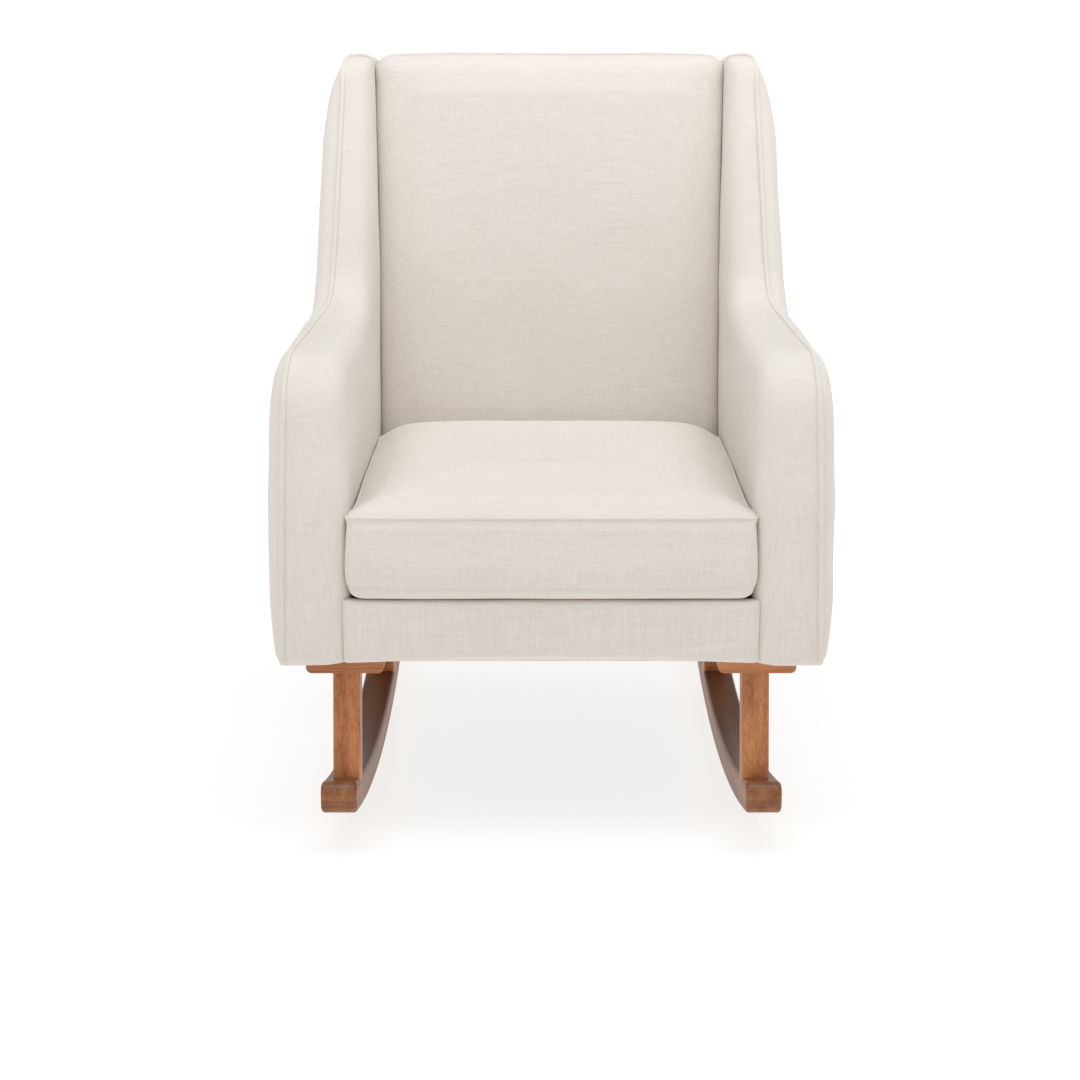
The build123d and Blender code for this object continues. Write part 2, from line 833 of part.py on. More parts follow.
# Front apron: padded cover of the front rail, with a slight arch along its lower edge
apron_top_z = seat_bottom_z - soft_clearance
with BuildPart() as apron:
    with BuildSketch(Plane.XZ.offset(-frame_front_y)):
        with BuildLine():
            arch = ThreePointArc(
                (-soft_half_width, frame_base_z),
                (0, frame_base_z + apron_arch),
                (soft_half_width, frame_base_z),
            )
            Polyline(
                arch @ 1,
                (soft_half_width, apron_top_z),
                (-soft_half_width, apron_top_z),
                arch @ 0,
            )
        make_face()
    extrude(amount=apron_thickness)
    fillet(apron.faces().sort_by(Axis.Y)[0].edges(), apron_edge_round)
save(apron.part, "front_apron")

# Inside back: one crowned pad between the wings that wraps over the top of the back frame
pad_lean = cos(radians(back_rake))
pad_low = (back_pad_bottom_z - back_z) / pad_lean
pad_high = (back_top_z - back_z) / pad_lean
pad_edge_shares = [(0, 1, 0.33), (0.083, 0.53, 0.42), (0.25, 0.23, 0.58), (0.56, 0.05, 0.83), (1, 0, 1)]
pad_sections = [
    (deep * pad_edge_depth, drawn * pad_edge_draw, rounded * back_pad_corner)
    for deep, drawn, rounded in pad_edge_shares
]
pad_sections.append((back_pad_thickness, 0, back_pad_corner))
wrap_depth = back_pad_thickness - wrap_overlap
with BuildPart() as back_pad:
    for depth, inset, corner in pad_sections:
        with BuildSketch(back_plane.offset(-depth)):
            with Locations((0, (pad_low + pad_high) / 2)):
                RectangleRounded(2 * (soft_half_width - inset), pad_high - pad_low - 2 * inset, corner)
    loft()
    with BuildSketch(Plane.YZ.offset(-soft_half_width)):
        Polygon(
            (back_face_y(post_top_z, wrap_depth), post_top_z),
            (outside_y(post_top_z), post_top_z),
            (outside_y(outer_top_z), outer_top_z),
            (back_face_y(outer_top_z, wrap_depth), outer_top_z),
            align=None,
        )
    extrude(amount=2 * soft_half_width)
save(back_pad.part, "back_pad")

# Outside back: a thin padded panel over the whole rear, with large rounded shoulders
slope_length = sqrt(1 + outside_slope**2)
shoulder = (outside_shoulder_z - frame_base_z) * slope_length
crown = (outer_top_z - frame_base_z) * slope_length
with BuildPart() as outside_back:
    with BuildSketch(outside_plane):
        with BuildLine():
            edge = FilletPolyline(
                (0, 0), (outside_half_width, 0), (outside_half_width, shoulder), radius=outside_foot_round
            )
            bow = TangentArc(
                edge @ 1, (outside_half_width - outside_shoulder_draw, crown), tangent=edge % 1
            )
            Line(bow @ 1, (0, crown))
            mirror(about=Plane.YZ)
        make_face()
    extrude(amount=outside_thickness, taper=outside_taper)
save(outside_back.part, "outside_back")

# Seat cushion: a loose boxed cushion with a crowned top, sides drawn in at its seams and a raked rear
seam_z = seat_bottom_z + cushion_seam_height
foot_shares = [(0, 1), (0.32, 0.36), (1, 0.07)]
seam_shares = [(1, 0.17), (0.32, 0.5), (0, 1)]
crown_shares = [(0.29, 0.12), (0.58, 0.29), (0.84, 0.59), (1, 1)]
boxing_rows = [
    (seat_bottom_z + rise * cushion_edge_height, drawn * cushion_foot_draw) for rise, drawn in foot_shares
]
boxing_rows.append((seat_bottom_z + cushion_seam_height / 2, 0))
boxing_rows += [
    (seam_z - drop * cushion_edge_height, drawn * cushion_seam_draw) for drop, drawn in seam_shares
]
boxing_sections = [(z, inset, cushion_corner - inset) for z, inset in boxing_rows]
crown_sections = [boxing_sections[-1]]
crown_sections += [
    (seam_z + rise * cushion_crown, drawn * cushion_crown_draw, cushion_crown_corner)
    for rise, drawn in crown_shares
]
cushion_half_width = arm_inner_x - cushion_clearance
with BuildPart() as seat_cushion:
    for run in (boxing_sections, crown_sections):
        for z, inset, corner in run:
            front_y = cushion_front_y + inset
            rear_y = back_face_y(z) - cushion_clearance - inset
            with BuildSketch(Plane.XY.offset(z)):
                with Locations((0, (front_y + rear_y) / 2)):
                    RectangleRounded(2 * (cushion_half_width - inset), rear_y - front_y, corner)
        loft()
save(seat_cushion.part, "seat_cushion")
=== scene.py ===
import math

import bmesh
import bpy
import numpy as np
from mathutils import Matrix, Vector, noise
from mathutils.bvhtree import BVHTree


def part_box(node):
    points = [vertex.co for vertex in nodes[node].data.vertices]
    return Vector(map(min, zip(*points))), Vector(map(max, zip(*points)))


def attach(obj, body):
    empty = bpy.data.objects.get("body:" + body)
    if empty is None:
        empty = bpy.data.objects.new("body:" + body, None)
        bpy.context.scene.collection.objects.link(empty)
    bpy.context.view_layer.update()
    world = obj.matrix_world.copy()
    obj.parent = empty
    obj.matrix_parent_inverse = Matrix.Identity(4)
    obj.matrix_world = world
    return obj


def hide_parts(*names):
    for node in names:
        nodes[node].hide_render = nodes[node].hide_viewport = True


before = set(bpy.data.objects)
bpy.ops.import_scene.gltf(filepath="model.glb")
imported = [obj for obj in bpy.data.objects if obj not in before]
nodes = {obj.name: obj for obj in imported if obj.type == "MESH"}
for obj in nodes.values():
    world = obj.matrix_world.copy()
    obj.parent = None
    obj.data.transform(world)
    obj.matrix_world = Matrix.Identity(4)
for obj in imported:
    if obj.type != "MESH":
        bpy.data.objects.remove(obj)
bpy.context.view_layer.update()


# Runners: two bars of beech, glued up from thin layers bent over a form, then shaped,
# stained red-brown and lacquered. The chair rolls on their lower faces.
runner_radius = 1.790
runner_balance_y = 0.028
runner_layer = 0.0082
runner_stain = 0.57
glue_line = 0.04
beech_dark = (0.290, 0.098, 0.033, 1)
beech_mid = (0.480, 0.176, 0.063, 1)
beech_light = (0.630, 0.265, 0.102, 1)
pore_tone = (0.62, 0.5, 0.42, 1)
# Painted highlight: how far in from an edge the beech is drawn paler, and at most how much.
edge_highlight_radius = 0.003
edge_highlight_most = 0.35
grain_x, grain_y, grain_z = 0, 1, 2


def add(tree, kind, joined=None, **settings):
    """Add a shader node; joined gives its sockets a value or another node's output."""
    node = tree.nodes.new(kind)
    for key, value in settings.items():
        setattr(node, key, value)
    for key, value in (joined or {}).items():
        if isinstance(value, bpy.types.NodeSocket):
            tree.links.new(value, node.inputs[key])
        else:
            node.inputs[key].default_value = value
    return node


def new_finish(name, **sockets):
    """A new material with constant values on its shader's own sockets."""
    finish = bpy.data.materials.new(name)
    finish.use_nodes = True
    shader = finish.node_tree.nodes["Principled BSDF"]
    for key, value in sockets.items():
        shader.inputs[key.replace("_", " ")].default_value = value
    return finish, finish.node_tree, shader


def feed(tree, shader, **sockets):
    """Let other nodes drive a shader's sockets."""
    for key, value in sockets.items():
        tree.links.new(value, shader.inputs[key.replace("_", " ")])


def object_place(tree):
    """The place on the object, in metres."""
    return add(tree, "ShaderNodeTexCoord").outputs["Object"]


def drawn_out(axis, along, across):
    """Scales for streaks that run along one axis."""
    return [along if other == axis else across for other in range(3)]


def streaks(tree, place, scale, detail=3.0, rough=0.55):
    """Noise drawn out along the axes whose scale is small."""
    drawn = add(tree, "ShaderNodeMapping", {"Vector": place, "Scale": scale})
    return add(
        tree,
        "ShaderNodeTexNoise",
        {"Vector": drawn.outputs["Vector"], "Scale": 1.0, "Detail": detail, "Roughness": rough},
    ).outputs["Fac"]


def ramp(tree, factor, stops):
    """Colours spread over a factor, from (place, colour) stops."""
    node = add(tree, "ShaderNodeValToRGB", {"Fac": factor})
    while len(node.color_ramp.elements) < len(stops):
        node.color_ramp.elements.new(0.5)
    for element, (place, colour) in zip(node.color_ramp.elements, stops):
        element.position = place
        element.color = colour
    return node.outputs["Color"]


def mixed(tree, factor, first, second, way="MIX"):
    """Two colours mixed by a factor."""
    node = add(tree, "ShaderNodeMix", data_type="RGBA", blend_type=way)
    for index, value in ((0, factor), (6, first), (7, second)):
        if isinstance(value, bpy.types.NodeSocket):
            tree.links.new(value, node.inputs[index])
        else:
            node.inputs[index].default_value = value
    return node.outputs[2]


def figure(tree, way, *values):
    """A sum on one, two or three values."""
    return add(tree, "ShaderNodeMath", dict(enumerate(values)), operation=way).outputs[0]


def vector_figure(tree, way, *values):
    """A sum on one or two vectors; a length or a dot product is a plain value."""
    node = add(tree, "ShaderNodeVectorMath", dict(enumerate(values)), operation=way)
    return node.outputs["Value" if way in ("LENGTH", "DOT_PRODUCT") else "Vector"]


def bumped(tree, shader, height, strength, distance):
    """Let a height roughen the shader's surface."""
    bump = {"Height": height, "Strength": strength, "Distance": distance}
    feed(tree, shader, Normal=add(tree, "ShaderNodeBump", bump).outputs["Normal"])


def layered(tree, place, colour):
    """A colour shaded by the glued layers that follow the runner's curve."""
    from_centre = vector_figure(tree, "SUBTRACT", place, (0.0, runner_balance_y, runner_radius))
    in_plane = vector_figure(tree, "MULTIPLY", from_centre, (0, 1, 1))
    depth = figure(tree, "SUBTRACT", runner_radius, vector_figure(tree, "LENGTH", in_plane))
    layers = figure(tree, "DIVIDE", depth, runner_layer)
    layer = figure(tree, "FLOOR", layers)
    shade = add(tree, "ShaderNodeTexWhiteNoise", {"W": layer}, noise_dimensions="1D")
    tint = figure(tree, "MULTIPLY_ADD", shade.outputs["Value"], 0.3, 0.84)
    glue = figure(tree, "GREATER_THAN", figure(tree, "PINGPONG", layers, 0.5), glue_line)
    tint = figure(tree, "MULTIPLY", tint, figure(tree, "MULTIPLY_ADD", glue, 0.3, 0.7))
    grey = add(tree, "ShaderNodeCombineColor", {0: tint, 1: tint, 2: tint}).outputs[0]
    return mixed(tree, 1.0, colour, grey, "MULTIPLY")


def stained_beech(name, grain, stain, laminated=False):
    """Stained beech with straight grain, short pore flecks and a painted highlight that draws its
    edges paler.

    A stain under 1 is a darker one.
    """
    dark, mid, light = [
        (*[stain * part for part in tone[:3]], 1) for tone in (beech_dark, beech_mid, beech_light)
    ]
    finish, tree, shader = new_finish(
        name, Specular_IOR_Level=0.35, Coat_Weight=0.08, Coat_Roughness=0.3
    )
    place = object_place(tree)
    fine_grain = streaks(tree, place, drawn_out(grain, 14.0, 420.0))
    broad_grain = streaks(tree, place, drawn_out(grain, 2.2, 46.0), 2.0)
    pores = streaks(tree, place, drawn_out(grain, 190.0, 1500.0), 1.0)
    broad_part = figure(tree, "MULTIPLY", broad_grain, 0.55)
    grain_mix = figure(tree, "MULTIPLY_ADD", fine_grain, 0.45, broad_part)
    colour = ramp(tree, grain_mix, [(0.34, dark), (0.5, mid), (0.66, light)])
    if laminated:
        colour = layered(tree, place, colour)
    flecks = ramp(tree, pores, [(0.60, (1, 1, 1, 1)), (0.72, pore_tone)])
    colour = mixed(tree, 0.7, colour, flecks, "MULTIPLY")
    # Painted highlight: the colour turns towards the light tone where the surface rounds over an
    # edge.
    rounded = add(tree, "ShaderNodeBevel", {"Radius": edge_highlight_radius}, samples=4).outputs["Normal"]
    flat = add(tree, "ShaderNodeNewGeometry").outputs["Normal"]
    turned = vector_figure(tree, "DOT_PRODUCT", rounded, flat)
    edge = figure(tree, "MULTIPLY", figure(tree, "SUBTRACT", 1.0, turned), 3.0)
    colour = mixed(tree, figure(tree, "MINIMUM", edge, edge_highlight_most), colour, light)
    sheen = figure(tree, "MULTIPLY_ADD", fine_grain, 0.22, 0.34)
    feed(tree, shader, Base_Color=colour, Roughness=sheen)
    bumped(tree, shader, figure(tree, "ADD", fine_grain, pores), 0.12, 0.0006)
    return finish


def dress(finish, *names):
    """Give CAD nodes a finish."""
    for name in names:
        nodes[name].data.materials.clear()
        nodes[name].data.materials.append(finish)


dress(
    stained_beech("laminated_beech", grain_y, runner_stain, laminated=True),
    "left_runner", "right_runner",
)

# Legs and leg plates: raked square legs of solid beech, each screwed up to a flat plate
# with eased edges, stained and lacquered as the runners are.
leg_stain = 1.0
plate_stain = 0.9
dress(
    stained_beech("leg_beech", grain_z, leg_stain),
    "left_front_leg", "right_front_leg", "left_rear_leg", "right_rear_leg",
)
dress(
    stained_beech("plate_beech", grain_x, plate_stain),
    "left_front_plate", "right_front_plate", "left_rear_plate", "right_rear_plate",
)

# Bolts, washers, screws, nuts and threaded inserts: turned and headed steel with a dull
# zinc coat. They hold runner to leg, leg to plate, plate to rail and rail to rail.
zinc_dull = (0.46, 0.47, 0.46, 1)
zinc_bright = (0.62, 0.62, 0.60, 1)
zinc_spangles = 700.0
zinc, zinc_tree, zinc_shader = new_finish("zinc_coat", Metallic=1.0)
spangle = add(
    zinc_tree,
    "ShaderNodeTexVoronoi",
    {"Vector": object_place(zinc_tree), "Scale": zinc_spangles},
).outputs["Distance"]
feed(
    zinc_tree,
    zinc_shader,
    Base_Color=ramp(zinc_tree, spangle, [(0.1, zinc_dull), (0.7, zinc_bright)]),
    Roughness=figure(zinc_tree, "MULTIPLY_ADD", spangle, 0.25, 0.32),
)
dress(
    zinc,
    "runner_bolts", "leg_screws", "plate_bolts", "plate_washers", "threaded_inserts",
    "frame_bolts", "frame_nuts",
)

# Seat, back and side frame: rails, posts, battens and blocks of sawn pale timber and panels of
# birch sheet, glued and bolted together and left bare because the covers hide them.
timber_dark = (0.50, 0.34, 0.19, 1)
timber_light = (0.74, 0.58, 0.38, 1)
timber_bands = 110.0
sheet_bands = 60.0


def bare_timber(name, grain, bands):
    """Planed bare timber, or sheet made of bands of veneer."""
    finish, tree, shader = new_finish(name, Specular_IOR_Level=0.3)
    lines = streaks(tree, object_place(tree), drawn_out(grain, 3.0, bands), 4.0)
    feed(
        tree,
        shader,
        Base_Color=ramp(tree, lines, [(0.35, timber_dark), (0.62, timber_light)]),
        Roughness=figure(tree, "MULTIPLY_ADD", lines, 0.2, 0.6),
    )
    bumped(tree, shader, lines, 0.2, 0.0008)
    return finish


dress(
    bare_timber("cross_timber", grain_x, timber_bands),
    "front_rail", "rear_rail", "back_top_rail", "back_lower_rail",
)
dress(bare_timber("side_timber", grain_y, timber_bands), "left_side_rail", "right_side_rail")
dress(
    bare_timber("upright_timber", grain_z, timber_bands),
    "left_back_post", "right_back_post", "left_side_battens", "right_side_battens",
    "corner_blocks",
)
dress(
    bare_timber("birch_sheet", grain_z, sheet_bands),
    "left_inner_panel", "right_inner_panel", "left_outer_panel", "right_outer_panel",
)

# Seat springs and clips: bent spring wire, oil-black, hooked into clips on the front and
# rear rails. They carry the deck under the cushion.
spring_dark = (0.05, 0.05, 0.055, 1)
spring_worn = (0.20, 0.20, 0.21, 1)
spring_steel, spring_tree, spring_shader = new_finish("spring_wire", Metallic=1.0)
oil = streaks(spring_tree, object_place(spring_tree), (90.0, 90.0, 90.0))
feed(
    spring_tree,
    spring_shader,
    Base_Color=ramp(spring_tree, oil, [(0.4, spring_dark), (0.75, spring_worn)]),
    Roughness=figure(spring_tree, "MULTIPLY_ADD", oil, 0.3, 0.3),
)
dress(spring_steel, "seat_springs", "spring_clips")

# Back webbing: flat straps of tightly woven dark yarn, stretched from one back post to the
# other and fixed to both, under the back pad.
webbing_dark = (0.055, 0.050, 0.045, 1)
webbing_light = (0.16, 0.15, 0.135, 1)
webbing_pitch = 0.0016


def woven(name, dark, light, pitch, relief):
    """Plain woven cloth whose threads run along the axes, at a pitch in metres."""
    finish, tree, shader = new_finish(name, Roughness=0.92, Specular_IOR_Level=0.2)
    place = object_place(tree)
    threads = vector_figure(tree, "MULTIPLY", place, (math.pi / pitch,) * 3)
    waves = add(tree, "ShaderNodeSeparateXYZ", {0: vector_figure(tree, "SINE", threads)}).outputs
    lying = figure(tree, "MULTIPLY", figure(tree, "MULTIPLY", waves[0], waves[1]), 0.5)
    upright = figure(tree, "MULTIPLY", waves[0], waves[2])
    over = figure(tree, "ADD", figure(tree, "MULTIPLY_ADD", upright, 0.5, lying), 0.5)
    worn = figure(tree, "MULTIPLY", streaks(tree, place, (60.0, 60.0, 60.0)), 0.4)
    shade = figure(tree, "ADD", figure(tree, "MULTIPLY", over, 0.6), worn)
    feed(tree, shader, Base_Color=ramp(tree, shade, [(0.25, dark), (0.75, light)]))
    bumped(tree, shader, over, relief, 0.0005)
    return finish


dress(woven("webbing_weave", webbing_dark, webbing_light, webbing_pitch, 0.5), "back_webbing")

# Dust cover and deck pad: a thin black cloth tacked under the frame to close it, with openings
# round the leg plates, and a felted pad laid over the springs, which the loose cushion rests on.
cloth_black = (0.012, 0.012, 0.013, 1)
cloth_grey = (0.045, 0.045, 0.048, 1)
cloth_pitch = 0.0011
dust_weave = woven("dust_weave", cloth_black, cloth_grey, cloth_pitch, 0.4)


def linked(name, mesh, finish, body):
    """Put a finished mesh in the scene as a piece that rides on a body."""
    piece = bpy.data.objects.new(name, mesh)
    bpy.context.scene.collection.objects.link(piece)
    mesh.materials.clear()
    mesh.materials.append(finish)
    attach(piece, body)
    return piece


def spread(low, high, stops, step):
    """Places from low to high that include the stops, no further apart than a step."""
    marks = sorted({low, high, *[stop for stop in stops if low < stop < high]})
    places = [low]
    for near, far in zip(marks, marks[1:]):
        count = max(1, math.ceil((far - near) / step))
        places += [near + (far - near) * i / count for i in range(1, count + 1)]
    return places


def sag(u):
    """Share of the full sag at a place from 0 to 1 across a stretched cloth."""
    return math.sin(math.pi * u)


plate_room = 0.003
dust_step = 0.022
dust_sag = 0.004
dust_clear = 0.0006
dust_low, dust_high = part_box("dust_cover")
plates = [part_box(f"{side}_{end}_plate") for side in ("left", "right") for end in ("front", "rear")]
openings = [
    (low.x - plate_room, high.x + plate_room, low.y - plate_room, high.y + plate_room)
    for low, high in plates
]
dust_across = spread(dust_low.x, dust_high.x, [x for gap in openings for x in gap[:2]], dust_step)
dust_along = spread(dust_low.y, dust_high.y, [y for gap in openings for y in gap[2:]], dust_step)
dust_places, dust_faces, dust_area = {}, [], 0.0
for x0, x1 in zip(dust_across, dust_across[1:]):
    for y0, y1 in zip(dust_along, dust_along[1:]):
        x, y = (x0 + x1) / 2, (y0 + y1) / 2
        if any(gap[0] < x < gap[1] and gap[2] < y < gap[3] for gap in openings):
            continue
        corners = ((x0, y0), (x1, y0), (x1, y1), (x0, y1))
        dust_faces.append([dust_places.setdefault(corner, len(dust_places)) for corner in corners])
        dust_area += (x1 - x0) * (y1 - y0)
dust_points = []
for x, y in dust_places:
    across = (x - dust_low.x) / (dust_high.x - dust_low.x)
    along = (y - dust_low.y) / (dust_high.y - dust_low.y)
    dust_points.append((x, y, dust_high.z - dust_clear - dust_sag * sag(across) * sag(along)))
dust_mesh = bpy.data.meshes.new("dust_cloth")
dust_mesh.from_pydata(dust_points, [], dust_faces)
dust_mesh.shade_smooth()
dust_cloth = linked("dust_cloth", dust_mesh, dust_weave, "chair")
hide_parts("dust_cover")


def joined_mesh(name, *sources):
    """One mesh from CAD nodes, each cut at a plane where (point, normal) is given."""
    whole = bmesh.new()
    for source, plane in sources:
        part = bmesh.new()
        part.from_mesh(nodes[source].data)
        bmesh.ops.remove_doubles(part, verts=part.verts, dist=1e-6)
        if plane:
            cut = bmesh.ops.bisect_plane(
                part, geom=part.verts[:] + part.edges[:] + part.faces[:],
                plane_co=plane[0], plane_no=plane[1], clear_inner=True,
            )
            edges = [e for e in cut["geom_cut"] if isinstance(e, bmesh.types.BMEdge)]
            bmesh.ops.holes_fill(part, edges=edges)
        spare = bpy.data.meshes.new("spare")
        part.to_mesh(spare)
        part.free()
        whole.from_mesh(spare)
        bpy.data.meshes.remove(spare)
    mesh = bpy.data.meshes.new(name)
    whole.to_mesh(mesh)
    whole.free()
    return mesh


def remeshed(mesh, voxel, passes=3):
    """Even quads over a closed mesh, without the hollows inside it."""
    probe = bpy.data.objects.new("probe", mesh)
    bpy.context.scene.collection.objects.link(probe)
    even = probe.modifiers.new("even", "REMESH")
    even.mode = "VOXEL"
    even.voxel_size = voxel
    shown = probe.evaluated_get(bpy.context.evaluated_depsgraph_get())
    grid = bpy.data.meshes.new_from_object(shown)
    bpy.data.objects.remove(probe)
    work = bmesh.new()
    work.from_mesh(grid)
    islands, left = [], set(work.verts)
    while left:
        island, edge = set(), [left.pop()]
        while edge:
            vertex = edge.pop()
            island.add(vertex)
            for link in vertex.link_edges:
                other = link.other_vert(vertex)
                if other in left:
                    left.discard(other)
                    edge.append(other)
        islands.append(island)
    kept = max(islands, key=len)
    bmesh.ops.delete(work, geom=[v for v in work.verts if v not in kept], context="VERTS")
    for _ in range(passes):
        bmesh.ops.smooth_vert(
            work, verts=work.verts, factor=0.5, use_axis_x=True, use_axis_y=True, use_axis_z=True
        )
    work.to_mesh(grid)
    work.free()
    grid.shade_smooth()
    return grid


deck_grid = 0.004
deck_mesh = remeshed(joined_mesh("deck_pad_felt", ("deck_pad", None)), deck_grid)
deck = linked("deck_pad_felt", deck_mesh, dust_weave, "chair")
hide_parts("deck_pad")

# Linen covers: one oatmeal cloth, plain woven with slubbed yarns that show as short pale and
# darker streaks along both thread directions. All covers, welts and seams are made of it.
linen_shade = (0.702, 0.640, 0.580, 1)
linen_mid = (0.768, 0.713, 0.657, 1)
linen_pale = (0.836, 0.792, 0.746, 1)


def linen_cloth(name):
    """Linen-look cloth whose two thread directions follow the surface."""
    finish, tree, shader = new_finish(
        name, Roughness=0.95, Specular_IOR_Level=0.15, Sheen_Weight=0.22, Sheen_Roughness=0.55
    )
    places = add(tree, "ShaderNodeTexCoord").outputs
    place = places["Object"]
    facing = vector_figure(tree, "ABSOLUTE", places["Normal"])
    facing = add(tree, "ShaderNodeSeparateXYZ", {0: facing}).outputs
    slubs, yarns = None, None
    for axis in range(3):
        slub = streaks(tree, place, drawn_out(axis, 24.0, 620.0), 2.0, 0.6)
        yarn = streaks(tree, place, drawn_out(axis, 110.0, 1500.0), 1.0)
        lying = figure(tree, "SUBTRACT", 1.0, facing[axis])
        slub = figure(tree, "MULTIPLY", figure(tree, "SUBTRACT", slub, 0.5), lying)
        yarn = figure(tree, "MULTIPLY", figure(tree, "SUBTRACT", yarn, 0.5), lying)
        slubs = slub if slubs is None else figure(tree, "ADD", slubs, slub)
        yarns = yarn if yarns is None else figure(tree, "ADD", yarns, yarn)
    broad = figure(tree, "SUBTRACT", streaks(tree, place, (7.0, 7.0, 7.0), 2.0), 0.5)
    shade = figure(tree, "MULTIPLY_ADD", slubs, 0.7, figure(tree, "MULTIPLY_ADD", yarns, 0.4, 0.5))
    shade = figure(tree, "ADD", shade, figure(tree, "MULTIPLY", broad, 0.14))
    tones = [(0.15, linen_shade), (0.5, linen_mid), (0.85, linen_pale)]
    feed(tree, shader, Base_Color=ramp(tree, shade, tones))
    bumped(tree, shader, figure(tree, "ADD", slubs, yarns), 0.35, 0.0009)
    return finish


linen = linen_cloth("oatmeal_linen")

# Arms and wings: one padded form on each side, foam over shaped panels, covered in linen that
# is pulled round the front and top to a welt and under the side rail. The outside is a
# second panel that bulges a little past the welt.
side_level_z = 0.460
welt_x = 0.338
welt_lean = math.radians(1.5)
welt_toe = math.radians(2.0)
arm_inner_x = 0.262
frame_base_z = 0.246
outside_low = Vector((0, 0.245, 0.246))
outside_high = Vector((0, 0.350, 1.030))
tacked_edge = 0.012
seat_side_band = 0.010
seat_side_z = 0.50
back_side_depth = 0.16


def behind(point):
    """How far a point is in front of the plane that closes the back."""
    run = (point.z - outside_low.z) / (outside_high.z - outside_low.z)
    return outside_low.y + run * (outside_high.y - outside_low.y) - point.y


def side_held(point):
    """Where an arm's cover is fixed: at the seat, under the rail and at the back."""
    if point.z < frame_base_z + tacked_edge or behind(point) < tacked_edge:
        return 1.0
    beside_seat = point.z < seat_side_z or behind(point) < back_side_depth
    return 1.0 if beside_seat and abs(point.x) < arm_inner_x + seat_side_band else 0.0


def between(pairs, place):
    """Value at a place from (place, value) pairs, straight between them."""
    for (near, first), (far, second) in zip(pairs, pairs[1:]):
        if place <= far:
            return first + (second - first) * max(0.0, place - near) / (far - near)
    return pairs[-1][1]


def welt_at(point):
    """X of the welt's seam beside a point."""
    toe = point.y * math.tan(welt_toe)
    return welt_x - toe - (point.z - side_level_z) * math.tan(welt_lean)


def shifted(piece, moves):
    """Move each point of a piece by its own step."""
    for vertex, move in zip(piece.data.vertices, moves):
        vertex.co += move
    piece.data.update()


def swollen(piece, held, reach, frames=20, pressure=4.0, tautness=30, own_share=0.4):
    """Blow a cover up by its filling.

    Held points stay, none moves further than the reach, and a taut cover loses its small folds.
    """
    group = piece.vertex_groups.new(name="held")
    tied = [held(vertex.co) for vertex in piece.data.vertices]
    for index, weight in enumerate(tied):
        if weight > 0:
            group.add([index], weight, "REPLACE")
    stuffing = piece.modifiers.new("stuffing", "CLOTH")
    cloth = stuffing.settings
    cloth.quality = 4
    cloth.mass = 0.3
    cloth.tension_stiffness = 12
    cloth.compression_stiffness = 12
    cloth.shear_stiffness = 6
    cloth.bending_stiffness = 0.6
    cloth.use_pressure = True
    cloth.uniform_pressure_force = pressure
    cloth.vertex_group_mass = "held"
    cloth.effector_weights.gravity = 0
    stuffing.collision_settings.use_collision = False
    stuffing.point_cache.frame_start = 1
    stuffing.point_cache.frame_end = frames
    scene = bpy.context.scene
    for step in range(1, frames + 1):
        scene.frame_set(step)
    shown = piece.evaluated_get(bpy.context.evaluated_depsgraph_get()).data
    ends = [vertex.co.copy() for vertex in shown.vertices]
    piece.modifiers.remove(stuffing)
    piece.vertex_groups.remove(group)
    scene.frame_set(1)
    rise = np.array([
        reach * math.tanh((end - vertex.co).dot(vertex.normal) / reach)
        for vertex, end in zip(piece.data.vertices, ends)
    ])
    pairs = np.zeros(2 * len(piece.data.edges), dtype=int)
    piece.data.edges.foreach_get("vertices", pairs)
    first, second = pairs.reshape(-1, 2).T
    loose = np.array([1 - weight for weight in tied])
    size = len(rise)
    links = np.bincount(pairs, minlength=size)
    for _ in range(tautness):
        around = np.bincount(first, rise[second], size) + np.bincount(second, rise[first], size)
        rise = loose * (own_share * rise + (1 - own_share) * around / links)
    shifted(piece, [vertex.normal * up for vertex, up in zip(piece.data.vertices, rise)])


def eased(piece, height, pitch, seed):
    """Slow hand-made unevenness of a stuffed cover."""
    start = Vector((seed * 7.3, seed * 3.1, seed * 5.7))
    shifted(piece, [
        vertex.normal * height * noise.noise(vertex.co / pitch + start)
        for vertex in piece.data.vertices
    ])


def softened(piece):
    """One subdivision of the finished cover."""
    smooth = piece.modifiers.new("smooth", "SUBSURF")
    smooth.levels = 1
    smooth.render_levels = 1


# The outside is drawn in at the foot, over the arm's nose and at the top of the wing. The wing's
# inner face stands back for the back pad, and the cover wraps round the frame's rear edge.
foot_draw = [(0.246, 0.0060), (0.275, 0.0040), (0.320, 0.0022), (0.420, 0.0006), (0.560, 0.0)]
nose_draw = [(0.540, 0.0), (0.600, 0.0022), (0.640, 0.0036), (0.668, 0.0030), (0.700, 0.0)]
wing_draw = [(0.900, 0.0), (0.960, 0.0020), (0.985, 0.0045), (1.005, 0.0080), (1.030, 0.0090)]
nose_reach = [(-0.300, 1.0), (-0.050, 0.0)]
draw_band = 0.012
draw_at_welt = 0.6
wing_spread = [(0.700, 0.0), (0.820, 0.0020), (1.000, 0.0065), (1.030, 0.0070)]
rear_wrap = 0.0055
rear_wrap_up = 0.3
rear_reach = [(0.006, 1.0), (0.030, 0.0)]
under_edge = 0.0015
under_rail = 0.0008
side_grid = 0.006
side_swell = 0.003
inner_cut = ((arm_inner_x, 0, 0), (1, 0, 0))
side_whole = joined_mesh(
    "right_side_cover",
    ("right_arm_and_wing", None), ("right_inner_panel", None), ("right_outer_panel", None),
    ("right_side_battens", None), ("right_side_rail", inner_cut), ("right_back_post", inner_cut),
)
side_mesh = remeshed(side_whole, side_grid)
facings = [vertex.normal.copy() for vertex in side_mesh.vertices]
